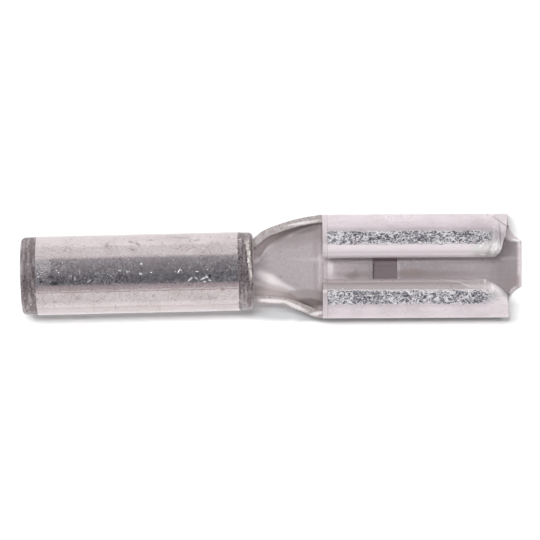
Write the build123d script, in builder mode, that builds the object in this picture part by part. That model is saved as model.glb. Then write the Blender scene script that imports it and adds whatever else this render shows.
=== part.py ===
from build123d import *
from math import asin, cos, degrees, radians, sin
import os

os.makedirs("parts", exist_ok=True)

# A female spade terminal: a receptacle and a wire barrel folded from one sheet, and the sleeve pressed
# over the barrel. The barrel is a solid of its own that meets the rest of the sheet face to face.
# +X points to the end where the tab enters, +Z up through the open slot between the curled rails.

# Driving dimensions, in millimetres and degrees

# The tab that goes in
tab_width = 2.8
tab_thickness = 0.5
side_play = 0.225
grip_bite = 0.05

# The sheet that the terminal is folded from
sheet = 0.28
floor_bend = 0.45

# The wire barrel, rolled round with its seam on top
wire_bore = 1.80
barrel_length = 4.8
barrel_entry = 0.10
seam_gap = 0.05
barrel_yaw = 1.0
barrel_shift = -0.15

# The sleeve, which runs on behind the barrel to hold the wire's insulation
sleeve_wall = 0.26
sleeve_length = 8.5
sleeve_band = 0.55
sleeve_band_drop = 0.03
sleeve_corner = 0.16
sleeve_inner_break = 0.05

# The open trough between the barrel and the receptacle
mouth_reach = 0.05
trough_length = 2.52
mouth_lip = 0.06
belly_angle = 24.0
rail_rim_height = 1.0
ramp_before_rails = 0.25
ramp_after_rails = 0.35

# The receptacle: its curled rails have a shoulder radius outside the crest and a nose radius inside it,
# and the nose tucks under past the vertical by an angle
rail_length = 6.84
plus_shoulder = 0.87
minus_shoulder = 0.71
rail_nose = 0.73
rail_tuck = 37.0
plus_lead = (0.40, 0.90)
minus_lead = (0.80, 0.95)
tip_clearance = 0.10

# The window in the floor, measured from the rails' rear edge
window_start = 1.86
window_length = 0.91
window_width = 1.30

# The tongue in front of the rails
tongue_reach = 0.51
tongue_plus = 0.91
tongue_minus = 0.74
plus_relief = 0.66
minus_relief = 0.68
plus_hollow = 0.09
minus_hollow = 0.14
tongue_bevel = 0.15

# Sizes that follow from the ones above
half_width = tab_width / 2 + side_play + sheet
tip_height = sheet + tab_thickness - grip_bite
nose_height = tip_height + rail_nose * sin(radians(rail_tuck))
receptacle_height = nose_height + rail_nose
bore_radius = wire_bore / 2
barrel_radius = bore_radius + sheet
sleeve_radius = barrel_radius + sleeve_wall
axis_height = sleeve_radius
trough_bottom = axis_height - barrel_radius
overall_length = sleeve_length + mouth_reach + trough_length + rail_length + tongue_reach

# How far a cutting form runs past what it cuts
over_cut = 1.0

# Places along X
x_rear = -overall_length / 2
x_mouth = x_rear + sleeve_length + mouth_reach
x_rails = x_mouth + trough_length
x_rails_end = x_rails + rail_length
x_tip = x_rails_end + tongue_reach
x_floor = x_rails + ramp_after_rails

# The barrel's axis leaves the receptacle's at a slight angle
axis_way = Vector(cos(radians(barrel_yaw)), sin(radians(barrel_yaw)), 0)
across_way = Vector(-sin(radians(barrel_yaw)), cos(radians(barrel_yaw)), 0)
mouth_centre = Vector(x_mouth, barrel_shift, axis_height)
sleeve_front = mouth_centre - axis_way * mouth_reach
mouth_plane = Plane(origin=mouth_centre, x_dir=across_way, z_dir=axis_way)

# Stations of the trough: share of its length, shares of the flare on the +Y and -Y sides,
# and share of the change from the barrel's round bottom to the floor's tight bends
trough_stations = [
    (0.15, 0.34, 0.01, 0.25),
    (0.40, 0.62, 0.11, 0.55),
    (0.68, 0.85, 0.53, 0.85),
    (1 - ramp_before_rails / trough_length, 0.96, 0.92, 1.0),
]


def cross_plane(x):
    return Plane(origin=(x, 0, 0), x_dir=(0, 1, 0), z_dir=(1, 0, 0))


def between(start, end, share):
    return start + (end - start) * share


# The trough's round section at the barrel's mouth, drawn about the barrel's axis. Its bottom is kept
# as three arcs of one circle, which run on into the trough's two bends and flat floor. The sheet's
# outside follows the barrel up to its rim, and the hollow goes straight up past it
def mouth_section(inset, headroom):
    radius = barrel_radius - inset
    top = mouth_lip + headroom
    rim_angle = degrees(asin(mouth_lip / radius))
    side_angle = 90 - belly_angle
    if headroom:
        plus_side = Line((radius, top), (radius, 0))
        minus_side = Line((-radius, 0), (-radius, top))
    else:
        plus_side = CenterArc((0, 0), radius, rim_angle, -rim_angle)
        minus_side = CenterArc((0, 0), radius, 180, -rim_angle)
    outline = [
        plus_side,
        CenterArc((0, 0), radius, 0, -side_angle),
        CenterArc((0, 0), radius, -side_angle, -2 * belly_angle),
        CenterArc((0, 0), radius, -90 - belly_angle, -side_angle),
        minus_side,
        Line(minus_side @ 1, plus_side @ 0),
    ]
    return mouth_plane * Face(Wire(outline))


# A flat-bottomed section of the trough at x, inset all round for the hollow
def trough_section(x, plus, minus, bottom, bend, rim, inset, headroom):
    plus, minus = plus - inset, minus + inset
    bottom, bend = bottom + inset, bend - inset
    top = rim + headroom
    with BuildLine(cross_plane(x)) as outline:
        Line((plus, top), (plus, bottom + bend))
        CenterArc((plus - bend, bottom + bend), bend, 0, -90)
        Line((plus - bend, bottom), (minus + bend, bottom))
        CenterArc((minus + bend, bottom + bend), bend, -90, -90)
        Line((minus, bottom + bend), (minus, top))
        Line((minus, top), (plus, top))
    return Face(outline.wire())


# The sections from the barrel's mouth to the top of the ramp
def flare_sections(inset, headroom):
    sections = [mouth_section(inset, headroom)]
    for share, plus_flare, minus_flare, squareness in trough_stations:
        x = x_mouth + trough_length * share
        plus = between(barrel_shift + barrel_radius, half_width, plus_flare)
        minus = between(barrel_shift - barrel_radius, -half_width, minus_flare)
        bend = between(barrel_radius, floor_bend, squareness)
        rim = between(axis_height + mouth_lip, rail_rim_height, share)
        sections.append(trough_section(x, plus, minus, trough_bottom, bend, rim, inset, headroom))
    return sections


# The sections down the ramp, at the rails' rear edge and at the ramp's foot
def ramp_sections(inset, headroom):
    rails_bottom = trough_bottom * ramp_after_rails / (ramp_before_rails + ramp_after_rails)
    return [
        trough_section(x, half_width, -half_width, bottom, floor_bend, rail_rim_height, inset, headroom)
        for x, bottom in ((x_rails, rails_bottom), (x_floor, 0))
    ]


# The trough: a solid form and its hollow, each lofted through the same sections
form_flare, form_ramp = flare_sections(0, 0), ramp_sections(0, 0)
hollow_flare, hollow_ramp = flare_sections(sheet, over_cut), ramp_sections(sheet, over_cut)
with BuildPart() as trough:
    loft(form_flare)
    loft(form_flare[-1:] + form_ramp, ruled=True)
    loft(hollow_flare, mode=Mode.SUBTRACT)
    loft(hollow_flare[-1:] + hollow_ramp, ruled=True, mode=Mode.SUBTRACT)


# One side of the receptacle's sheet, from the rail's tip round its crest to the floor, and back
# along the inside
def rail_side(side, shoulder):
    crest = side * (half_width - shoulder)
    toward_wall = 0 if side > 0 else 180
    bend_centre = (side * (half_width - floor_bend), floor_bend)
    tips = []
    for inset in (0, sheet):
        wall = side * (half_width - inset)
        nose = CenterArc((crest, nose_height), rail_nose - inset, 90, side * (90 + rail_tuck))
        CenterArc((crest, receptacle_height - shoulder), shoulder - inset, 90, -side * 90)
        Line((wall, receptacle_height - shoulder), (wall, floor_bend))
        CenterArc(bend_centre, floor_bend - inset, toward_wall, -side * 90)
        tips.append(nose @ 1)
    Line(*tips)


# The rounded front corner of a rail beside the slot, seen from above and clear of the floor. It leaves
# the rail's front edge smoothly and meets the slot at a corner
def lead_cut(side, shoulder, lead):
    along, across = lead
    slot_edge = side * (half_width - shoulder - rail_nose)
    start = (x_rails_end - along, slot_edge)
    end = (x_rails_end, slot_edge + side * across)
    beyond = x_rails_end + over_cut
    with BuildSketch(Plane.XY.offset(sheet + tip_clearance)) as corner_cut:
        with BuildLine():
            TangentArc(end, start, tangent=(0, -side))
            Polyline(start, (start[0], 0), (beyond, 0), (beyond, end[1]), end)
        make_face()
    return corner_cut.sketch


# The hollow corner between a side wall and the tongue, seen from above: an arc that bows inwards
def relief_cut(side, tongue_edge, run, hollow):
    corner = (x_tip, side * tongue_edge)
    wall_end = (x_rails_end, side * (tongue_edge + run))
    beyond, outside = x_tip + over_cut, side * (half_width + over_cut)
    with BuildSketch(Plane.XY.offset(-over_cut)) as corner_cut:
        with BuildLine():
            SagittaArc(wall_end, corner, -side * hollow)
            Polyline(corner, (beyond, corner[1]), (beyond, outside), (x_rails_end, outside), wall_end)
        make_face()
    return corner_cut.sketch


# The terminal: receptacle, tongue and trough in one folded sheet
with BuildPart() as terminal:
    with BuildSketch(cross_plane(x_rails)):
        with BuildLine():
            rail_side(1, plus_shoulder)
            rail_side(-1, minus_shoulder)
            for inset in (0, sheet):
                Line((half_width - floor_bend, inset), (floor_bend - half_width, inset))
        make_face()
    extrude(amount=rail_length + tongue_reach)

    # The walls and rails stop short of the tongue
    with BuildSketch(Plane.XY.offset(floor_bend)):
        with Locations((x_rails_end + over_cut, 0)):
            Rectangle(2 * over_cut, 2 * (half_width + over_cut))
    extrude(amount=receptacle_height + over_cut, mode=Mode.SUBTRACT)

    # The tongue's hollow corners and bevel
    plus_corner = relief_cut(1, tongue_plus, plus_relief, plus_hollow)
    minus_corner = relief_cut(-1, tongue_minus, minus_relief, minus_hollow)
    for corner in (plus_corner, minus_corner):
        extrude(corner, amount=receptacle_height + 2 * over_cut, mode=Mode.SUBTRACT)
    front_edges = terminal.edges().filter_by(Axis.Y).group_by(Axis.X)[-1]
    chamfer(front_edges.sort_by(Axis.Z)[-1], length=tongue_bevel)

    # The rails' rounded front corners
    for corner in (lead_cut(1, plus_shoulder, plus_lead), lead_cut(-1, minus_shoulder, minus_lead)):
        extrude(corner, amount=receptacle_height + over_cut, mode=Mode.SUBTRACT)

    # The window in the floor
    with BuildSketch(Plane.XY.offset(-over_cut)):
        with Locations((x_rails + window_start + window_length / 2, 0)):
            Rectangle(window_length, window_width)
    extrude(amount=over_cut + 2 * sheet, mode=Mode.SUBTRACT)

    # The floor behind the ramp's foot is the trough's own
    with BuildSketch(Plane.XY.offset(-over_cut)):
        with Locations((x_rails + ramp_after_rails / 2, 0)):
            Rectangle(ramp_after_rails, 2 * (half_width + over_cut))
    extrude(amount=over_cut + floor_bend + trough_bottom, mode=Mode.SUBTRACT)
    add(trough.part)

# The wire barrel: the same sheet, rolled round behind the trough. Its edge is eased where the wire enters
with BuildPart() as barrel:
    with BuildSketch(mouth_plane):
        Circle(barrel_radius)
        Circle(bore_radius, mode=Mode.SUBTRACT)
    extrude(amount=-barrel_length)
    rear_rings = barrel.edges().filter_by(GeomType.CIRCLE).group_by(Axis.X)[0]
    chamfer(rear_rings.sort_by(SortBy.RADIUS)[0], length=barrel_entry)
    with BuildSketch(mouth_plane):
        with Locations((0, barrel_radius)):
            Rectangle(seam_gap, 2 * sheet + sleeve_wall)
    extrude(amount=-barrel_length, mode=Mode.SUBTRACT)

# The sleeve, with its end bands rolled slightly in
with BuildPart() as barrel_sleeve:
    with BuildSketch(Plane(origin=sleeve_front, x_dir=axis_way, z_dir=across_way * -1)) as sleeve_half:
        with BuildLine():
            Polyline(
                (0, barrel_radius),
                (-sleeve_length, barrel_radius),
                (-sleeve_length, sleeve_radius - sleeve_band_drop),
                (-sleeve_length + sleeve_band, sleeve_radius),
                (-sleeve_band, sleeve_radius),
                (0, sleeve_radius - sleeve_band_drop),
                close=True,
            )
        make_face()
        rims = sleeve_half.vertices().group_by(Axis.X)
        for end in (rims[0], rims[-1]):
            fillet(end.sort_by(Axis.Y)[-1], radius=sleeve_corner)
        rims = sleeve_half.vertices().group_by(Axis.X)
        for end in (rims[0], rims[-1]):
            chamfer(end.sort_by(Axis.Y)[0], length=sleeve_inner_break)
    revolve(axis=Axis(sleeve_front, axis_way))

terminal.part.label = "terminal"
barrel.part.label = "barrel"
barrel_sleeve.part.label = "barrel_sleeve"
export_step(terminal.part, "parts/terminal.step")
export_step(barrel.part, "parts/barrel.step")
export_step(barrel_sleeve.part, "parts/barrel_sleeve.step")
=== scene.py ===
import bpy
import bmesh
from math import asin, atan2, cos, degrees, pi, radians, sin, sqrt
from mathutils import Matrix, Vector


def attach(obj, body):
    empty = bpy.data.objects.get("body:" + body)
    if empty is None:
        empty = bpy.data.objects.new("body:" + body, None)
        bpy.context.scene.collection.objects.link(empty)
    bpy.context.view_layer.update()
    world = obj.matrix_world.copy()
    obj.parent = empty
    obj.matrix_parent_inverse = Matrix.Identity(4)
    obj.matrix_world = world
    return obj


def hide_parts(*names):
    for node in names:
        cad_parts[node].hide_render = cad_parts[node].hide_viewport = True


# A tin-plated female spade terminal, seen from straight above on white.
# The CAD frame gives the place of everything; lengths below are in millimetres and become metres.

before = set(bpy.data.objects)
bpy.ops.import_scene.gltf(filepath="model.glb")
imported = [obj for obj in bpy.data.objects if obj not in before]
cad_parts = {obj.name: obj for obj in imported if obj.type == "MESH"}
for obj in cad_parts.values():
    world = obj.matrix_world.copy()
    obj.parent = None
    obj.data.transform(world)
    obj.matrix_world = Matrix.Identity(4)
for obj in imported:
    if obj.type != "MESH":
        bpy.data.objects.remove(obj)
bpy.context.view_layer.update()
mm = 0.001
near = 0.001  # points this close, in millimetres, count as the same


def report(stage):
    print("scene:", stage)


report("frame loaded")


def startPiece(name):
    piece = bpy.context.object
    piece.name = name
    piece.data.name = name
    return piece


def enterEdit(piece):
    bpy.ops.object.select_all(action="DESELECT")
    bpy.context.view_layer.objects.active = piece
    piece.select_set(True)
    bpy.ops.object.mode_set(mode="EDIT")
    bpy.ops.mesh.select_mode(type="EDGE")
    bpy.ops.mesh.select_all(action="DESELECT")


def leaveEdit():
    bpy.ops.object.mode_set(mode="OBJECT")


# selects the edges whose two ends, in millimetres, both pass the test
def pickEdges(piece, test):
    bpy.ops.mesh.select_all(action="DESELECT")
    mesh = bmesh.from_edit_mesh(piece.data)
    for edge in mesh.edges:
        if all(test(vert.co / mm) for vert in edge.verts):
            edge.select_set(True)
    bmesh.update_edit_mesh(piece.data)


# selects the faces whose middle, in millimetres, passes the test
def pickFaces(piece, test):
    bpy.ops.mesh.select_mode(type="FACE")
    bpy.ops.mesh.select_all(action="DESELECT")
    mesh = bmesh.from_edit_mesh(piece.data)
    for face in mesh.faces:
        if test(face.calc_center_median() / mm):
            face.select_set(True)
    bmesh.update_edit_mesh(piece.data)


def extrudeBy(x, y, z):
    bpy.ops.mesh.extrude_region_move(TRANSFORM_OT_translate={"value": (x * mm, y * mm, z * mm)})


def applyModifier(piece, kind, **settings):
    modifier = piece.modifiers.new(kind.title(), kind)
    for key, value in settings.items():
        setattr(modifier, key, value)
    bpy.ops.object.modifier_apply(modifier=modifier.name)


# joins what lies in the same place, turns all faces outwards and ends the edit
def closeMesh():
    bpy.ops.mesh.select_all(action="SELECT")
    bpy.ops.mesh.remove_doubles(threshold=near * mm / 2)
    bpy.ops.mesh.normals_make_consistent(inside=False)
    leaveEdit()


# a smooth way through (share, value) points, without overshoot
def easedThrough(points, share):
    slopes = []
    for i in range(len(points)):
        if i in (0, len(points) - 1):
            j = max(i, 1)
            slopes.append((points[j][1] - points[j - 1][1]) / (points[j][0] - points[j - 1][0]))
        else:
            before = (points[i][1] - points[i - 1][1]) / (points[i][0] - points[i - 1][0])
            after = (points[i + 1][1] - points[i][1]) / (points[i + 1][0] - points[i][0])
            slopes.append(0 if before * after <= 0 else 2 * before * after / (before + after))
    share = min(max(share, points[0][0]), points[-1][0])
    for i in range(len(points) - 1):
        (a, va), (b, vb) = points[i], points[i + 1]
        if share <= b:
            t, w = (share - a) / (b - a), b - a
            return ((2 * t**3 - 3 * t**2 + 1) * va + (t**3 - 2 * t**2 + t) * w * slopes[i]
                    + (3 * t**2 - 2 * t**3) * vb + (t**3 - t**2) * w * slopes[i + 1])
    return points[-1][1]


def smoothStep(value, low, high):
    t = min(max((value - low) / (high - low), 0), 1)
    return t * t * (3 - 2 * t)


def straightStep(value, low, high):
    return min(max((value - low) / (high - low), 0), 1)


def spread(start, end, count):
    return [start + (end - start) * i / count for i in range(count)]


# The folded sheet: receptacle, trough and wire barrel
sheetSize = dict(
    thickness=0.28, halfWidth=1.905, floorBend=0.45,
    mouthX=-0.66, rampTopX=1.61, railsX=1.86, rampFootX=2.21,
    railsEndX=8.7, tipX=9.21,
    windowX=(3.72, 4.63), windowHalf=0.65,
    height=1.8993, noseHeight=1.1693, nose=0.73, tuck=37,
    plusShoulder=0.87, minusShoulder=0.71, rimHeight=1,
    barrelRadius=1.18, barrelShift=-0.15, barrelAxisZ=1.44, barrelLength=4.8,
    barrelYaw=1, mouthLip=0.06, seamGap=0.05, belly=24, troughBottom=0.26,
    tonguePlus=0.91, tongueMinus=0.74, reliefPlus=0.66, reliefMinus=0.68,
    hollowPlus=0.09, hollowMinus=0.14,
    edgeRound=0.035, tongueBevel=0.12, drawnFrom=7.535, rampEase=0.03,
    sharpEdge=50, smoothBelow=40,
)
s = sheetSize
# how finely each stretch of it is divided
sheetSteps = dict(trough=28, floor=10, window=6, rails=18, drawn=24,
                  bend=9, wall=4, shoulder=18, nose=24, barrel=8, closing=22)
flareSteps = dict(
    plus=[(0, 0), (0.15, 0.34), (0.4, 0.62), (0.68, 0.85), (0.9008, 0.96), (1, 1)],
    minus=[(0, 0), (0.15, 0.01), (0.4, 0.11), (0.68, 0.53), (0.9008, 0.92), (1, 1)],
    squareness=[(0, 0), (0.15, 0.25), (0.4, 0.55), (0.68, 0.85), (0.9008, 1), (1, 1)],
)
# across the step in the floor: place along X, and how deep the pressing tool marked it there
stepMarks = [(1.71, 0), (1.81, 0), (1.835, 0.030), (1.895, 0.030), (1.92, 0), (2.005, 0), (2.02, 0.018),
             (2.035, 0.018), (2.05, 0), (2.13, 0)]

# rows of the flat sheet along X, close together over the step and at the window's ends
stepRows = [1.66, 1.71, 1.76, 1.81, 1.835, s["railsX"], 1.895, 1.92, 1.96, 2.005, 2.02, 2.035, 2.05, 2.09, 2.13, 2.17]
rowPlaces = spread(s["mouthX"], s["rampTopX"], sheetSteps["trough"]) + [s["rampTopX"]] + stepRows
for stretch, start, end in (("floor", s["rampFootX"], s["windowX"][0]), ("window", *s["windowX"]),
                            ("rails", s["windowX"][1], s["drawnFrom"]), ("drawn", s["drawnFrom"], s["railsEndX"])):
    rowPlaces += spread(start, end, sheetSteps[stretch])
rowPlaces.append(s["railsEndX"])
# and columns across it, with one at each side of the window
floorHalf = s["halfWidth"] - s["floorBend"]
halfColumns = [0.22, 0.45, s["windowHalf"], 0.75, 0.9, 1.1, 1.3, floorHalf]
floorColumns = [-y for y in reversed(halfColumns)] + [0] + halfColumns

report("folding the sheet")
bpy.ops.object.select_all(action="DESELECT")
bpy.ops.mesh.primitive_grid_add(x_subdivisions=len(rowPlaces) - 1, y_subdivisions=len(floorColumns) - 1, size=2)
sheet = startPiece("terminalSheet")
for vert in sheet.data.vertices:
    row = round((vert.co.x + 1) / 2 * (len(rowPlaces) - 1))
    column = round((vert.co.y + 1) / 2 * (len(floorColumns) - 1))
    vert.co = Vector((rowPlaces[row], floorColumns[column], 0)) * mm

enterEdit(sheet)
for side, shoulder in ((1, s["plusShoulder"]), (-1, s["minusShoulder"])):
    wall = side * s["halfWidth"]
    crest = side * (s["halfWidth"] - shoulder)
    # the bend from the floor up into the wall
    pickEdges(sheet, lambda p: abs(p.y - side * floorHalf) < near and p.z < near)
    bpy.ops.mesh.spin(steps=sheetSteps["bend"], angle=-side * radians(90), axis=(1, 0, 0),
                      center=(0, side * floorHalf * mm, s["floorBend"] * mm))
    for step in range(sheetSteps["wall"]):
        extrudeBy(0, 0, (s["rimHeight"] - s["floorBend"]) / sheetSteps["wall"])
    # only the receptacle's walls go on up into the curled rails
    pickEdges(sheet, lambda p: abs(p.y - wall) < near and abs(p.z - s["rimHeight"]) < near
              and p.x > s["railsX"] - near)
    extrudeBy(0, 0, s["height"] - shoulder - s["rimHeight"])
    bpy.ops.mesh.spin(steps=sheetSteps["shoulder"], angle=-side * radians(90), axis=(1, 0, 0),
                      center=(0, crest * mm, (s["height"] - shoulder) * mm))
    bpy.ops.mesh.spin(steps=sheetSteps["nose"], angle=-side * radians(90 + s["tuck"]), axis=(1, 0, 0),
                      center=(0, crest * mm, s["noseHeight"] * mm))


# centre and radius of the arc that bows inwards from the tongue to a rail's wall
def hollowCorner(tongue, run, hollow):
    reach = s["tipX"] - s["railsEndX"]
    chord = sqrt(reach**2 + run**2)
    radius = (chord**2 / 4 + hollow**2) / (2 * hollow)
    centreX = s["railsEndX"] + reach / 2 + (radius - hollow) * run / chord
    centreY = tongue + run / 2 + (radius - hollow) * reach / chord
    return centreX, centreY, radius


# half breadth of the tongue at x, on that arc
def tongueEdge(corner, x):
    centreX, centreY, radius = corner
    return centreY - sqrt(max(radius**2 - (x - centreX)**2, 0))


hollowCorners = [hollowCorner(s["tonguePlus"], s["reliefPlus"], s["hollowPlus"]),
                 hollowCorner(s["tongueMinus"], s["reliefMinus"], s["hollowMinus"])]
tongueRows = (0.02, 0.04, 0.07, 0.11, 0.16, 0.225, 0.30, 0.40, 0.51)

# the tongue is drawn forward and in between its two hollow corners
pickEdges(sheet, lambda p: abs(p.x - s["railsEndX"]) < near and abs(p.y) < floorHalf + near and p.z < near)
lastX, lastPlus, lastMinus = s["railsEndX"], floorHalf, -floorHalf
for ahead in tongueRows:
    x = s["railsEndX"] + ahead
    plus = tongueEdge(hollowCorners[0], x)
    minus = -tongueEdge(hollowCorners[1], x)
    extrudeBy(x - lastX, 0, 0)
    factor = (plus - minus) / (lastPlus - lastMinus)
    fixed = (plus - factor * lastPlus) / (1 - factor)
    bpy.ops.transform.resize(value=(1, factor, 1), center_override=(0, fixed * mm, 0))
    lastX, lastPlus, lastMinus = x, plus, minus

# the window in the floor
pickFaces(sheet, lambda p: s["windowX"][0] < p.x < s["windowX"][1] and abs(p.y) < s["windowHalf"] and p.z < near)
bpy.ops.mesh.delete(type="FACE")
leaveEdit()


# where a point of the plain U-shaped floor and walls goes at x
def troughPlace(p):
    share = (p.x - s["mouthX"]) / (s["railsX"] - s["mouthX"])
    flare = [easedThrough(flareSteps[name], share) for name in ("plus", "minus", "squareness")]
    r = s["barrelRadius"] + (s["floorBend"] - s["barrelRadius"]) * flare[2]
    plus = s["barrelShift"] + s["barrelRadius"]
    plus += (s["halfWidth"] - plus) * flare[0]
    minus = s["barrelShift"] - s["barrelRadius"]
    minus += (-s["halfWidth"] - minus) * flare[1]
    bottom = s["troughBottom"] * (1 - smoothStep(p.x, s["rampTopX"] - s["rampEase"], s["rampFootX"] + s["rampEase"]))
    if stepMarks[0][0] < p.x < stepMarks[-1][0]:
        before = max(mark for mark in stepMarks if mark[0] <= p.x + near)
        after = min(mark for mark in stepMarks if mark[0] > p.x + near)
        bottom -= before[1] + (after[1] - before[1]) * straightStep(p.x, before[0], after[0])
    rim = s["barrelAxisZ"] + s["mouthLip"]
    rim += (s["rimHeight"] - rim) * min(share, 1)
    belly = radians(s["belly"]) * (1 - flare[2])
    middle, flat = (plus + minus) / 2, (plus - minus) / 2 - r
    side = 1 if p.y > 0 else -1
    if p.z < near:
        way = abs(p.y) / floorHalf * (flat + r * belly)
        if way <= flat:
            y, z = middle + side * way, bottom
        else:
            turn = (way - flat) / r
            y, z = middle + side * (flat + r * sin(turn)), bottom + r * (1 - cos(turn))
    elif p.z < s["floorBend"] - near:
        part = atan2(abs(p.y) - floorHalf, s["floorBend"] - p.z) / (pi / 2)
        turn = belly + part * (pi / 2 - belly)
        y, z = middle + side * (flat + r * sin(turn)), bottom + r * (1 - cos(turn))
    else:
        part = (p.z - s["floorBend"]) / (s["rimHeight"] - s["floorBend"])
        y = plus if side > 0 else minus
        z = bottom + r + part * (rim - bottom - r)
    skew = sin(radians(s["barrelYaw"])) * (y - s["barrelShift"]) * max(1 - share, 0)
    return Vector((p.x - skew, y, z))


for vert in sheet.data.vertices:
    point = vert.co / mm
    onFloor = point.z < s["floorBend"] + near
    onWall = abs(point.y) > s["halfWidth"] - near and point.z < s["rimHeight"] + near
    if point.x < s["rampFootX"] + 0.1 and (onFloor or onWall):
        vert.co = troughPlace(point) * mm

# the wire barrel, drawn back from the trough's round mouth and then closed over the top
axisWay = Vector((cos(radians(s["barrelYaw"])), sin(radians(s["barrelYaw"])), 0))
mouthCentre = Vector((s["mouthX"], s["barrelShift"], s["barrelAxisZ"]))
enterEdit(sheet)
pickEdges(sheet, lambda p: (p - mouthCentre).dot(axisWay) < 2 * near)
for step in range(sheetSteps["barrel"]):
    extrudeBy(*(axisWay * -s["barrelLength"] / sheetSteps["barrel"]))
lipAngle = degrees(asin(s["mouthLip"] / s["barrelRadius"]))
gapAngle = degrees(asin(s["seamGap"] / 2 / s["barrelRadius"]))
rimZ = s["barrelAxisZ"] + s["mouthLip"]
for side in (1, -1):
    pickEdges(sheet, lambda p: (p - mouthCentre).dot(axisWay) < 2 * near and abs(p.z - rimZ) < 2 * near
              and p.y * side > s["barrelShift"] * side)
    bpy.ops.mesh.spin(steps=sheetSteps["closing"], angle=-side * radians(90 - lipAngle - gapAngle),
                      axis=axisWay, center=mouthCentre * mm)

closeMesh()
floorFace = min(sheet.data.polygons, key=lambda f: (f.center / mm - Vector((6, 0.1, 0))).length)
if floorFace.normal.z > 0:
    sheet.data.flip_normals()

# how the blanking tool left the two ends of the rails
railEnds = dict(
    # half breadth, and how far the rail's front edge reaches there
    plusFront=[(0.305, 8.16), (0.42, 8.29), (0.58, 8.38), (0.945, 8.45), (1.24, 8.52), (1.55, 8.59),
               (1.905, 8.64)],
    minusFront=[(0.465, 7.8), (0.548, 7.905), (0.713, 8.195), (0.84, 8.345), (0.987, 8.455), (1.17, 8.545),
                (1.39, 8.6), (1.905, 8.65)],
    # that holds in full above these heights, over the curls and in the walls
    baseZ=0.4, curlZ=0.62, wallZ=1.15, wallFrom=1.5,
    # low in the -Y wall the edge reaches further
    lowReach=0.07, lowFrom=1.8, lowRise=(0.4, 0.55), lowFall=(0.75, 1.1),
    rearRoll=(0.17, 0.1), rollHeights=(1, 1.6),  # length and drop of the rolled-over rear edges
    # the -Y tip is bent up to lead the tab in, the +Y tip only a little: start and lift
    minusFlap=(7.82, 0.36), plusFlap=(8.02, 0.1), flapEnd=8.6,
    flapBreadths=(1.1, 1.5), flapHeights=(0.5, 0.75),
    # start and drop of the dented +Y corner
    cornerDent=(8.17, 0.1), dentLength=0.12, dentBreadths=(1.5, 1.75), dentHeights=(1, 1.3),
)
e = railEnds


def railPlace(p):
    side = 1 if p.y > 0 else -1
    breadth, x, z = abs(p.y), p.x, p.z
    if x > s["drawnFrom"] and z > e["baseZ"]:
        front = easedThrough(e["plusFront" if side > 0 else "minusFront"], breadth)
        fullZ = e["curlZ"] if breadth < e["wallFrom"] else e["wallZ"]
        front = s["railsEndX"] + (front - s["railsEndX"]) * smoothStep(z, e["baseZ"], fullZ)
        if side < 0 and breadth > e["lowFrom"]:
            front += e["lowReach"] * smoothStep(z, *e["lowRise"]) * (1 - smoothStep(z, *e["lowFall"]))
        share = (x - s["drawnFrom"]) / (s["railsEndX"] - s["drawnFrom"])
        x = s["drawnFrom"] + share * (front - s["drawnFrom"])
        start, lift = e["plusFlap" if side > 0 else "minusFlap"]
        inner = 1 - smoothStep(breadth, *e["flapBreadths"])
        z += lift * straightStep(x, start, e["flapEnd"]) * inner * smoothStep(p.z, *e["flapHeights"])
        if side > 0 and breadth > e["wallFrom"]:
            start, drop = e["cornerDent"]
            dent = smoothStep(x, start, start + e["dentLength"]) * smoothStep(breadth, *e["dentBreadths"])
            z -= drop * dent * smoothStep(p.z, *e["dentHeights"])
    length, drop = e["rearRoll"]
    if p.z > s["rimHeight"] + 0.02 and p.x < s["railsX"] + length:
        z -= drop * (1 - straightStep(p.x, s["railsX"], s["railsX"] + length)) * smoothStep(p.z, *e["rollHeights"])
    return Vector((x, p.y, z))


for vert in sheet.data.vertices:
    if vert.co.x > (s["railsX"] - near) * mm:
        vert.co = railPlace(vert.co / mm) * mm

report("giving the sheet its thickness")
bpy.ops.object.select_all(action="DESELECT")
bpy.context.view_layer.objects.active = sheet
sheet.select_set(True)
for name in ("outside", "inside", "edge"):
    sheet.data.materials.append(None)
applyModifier(sheet, "SOLIDIFY", thickness=s["thickness"] * mm, offset=-1, use_even_offset=True,
              material_offset=1, material_offset_rim=2)
enterEdit(sheet)
pickEdges(sheet, lambda p: p.x > s["tipX"] - near and p.z > s["thickness"] - 2 * near)
bpy.ops.mesh.bevel(offset=s["tongueBevel"] * mm, segments=2)
leaveEdit()
applyModifier(sheet, "BEVEL", width=s["edgeRound"] * mm, segments=2, limit_method="ANGLE",
              angle_limit=radians(s["sharpEdge"]))
bpy.ops.object.shade_smooth_by_angle(angle=radians(s["smoothBelow"]))
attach(sheet, "root")
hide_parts("terminal", "barrel")

# The sleeve pressed over the barrel
sleeveSize = dict(
    length=8.46, radius=1.44, bore=1.18, mouthReach=0.015,
    band=0.55, bandDrop=0.03, bandEdge=0.012, corner=0.16, innerBreak=0.05,
    around=128, stretches=12, boreStretches=6, smoothBelow=35,
)
k = sleeveSize
report("pressing the sleeve")
sleeveFront = mouthCentre - axisWay * k["mouthReach"]

# the section, from the bore at the front round the outside to the bore at the rear
section = [(k["innerBreak"], k["bore"]), (0, k["bore"] + k["innerBreak"])]
for turn in range(90, -1, -15):
    section.append((k["corner"] * (1 - sin(radians(turn))),
                    k["radius"] - k["bandDrop"] - k["corner"] * (1 - cos(radians(turn)))))
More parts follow.
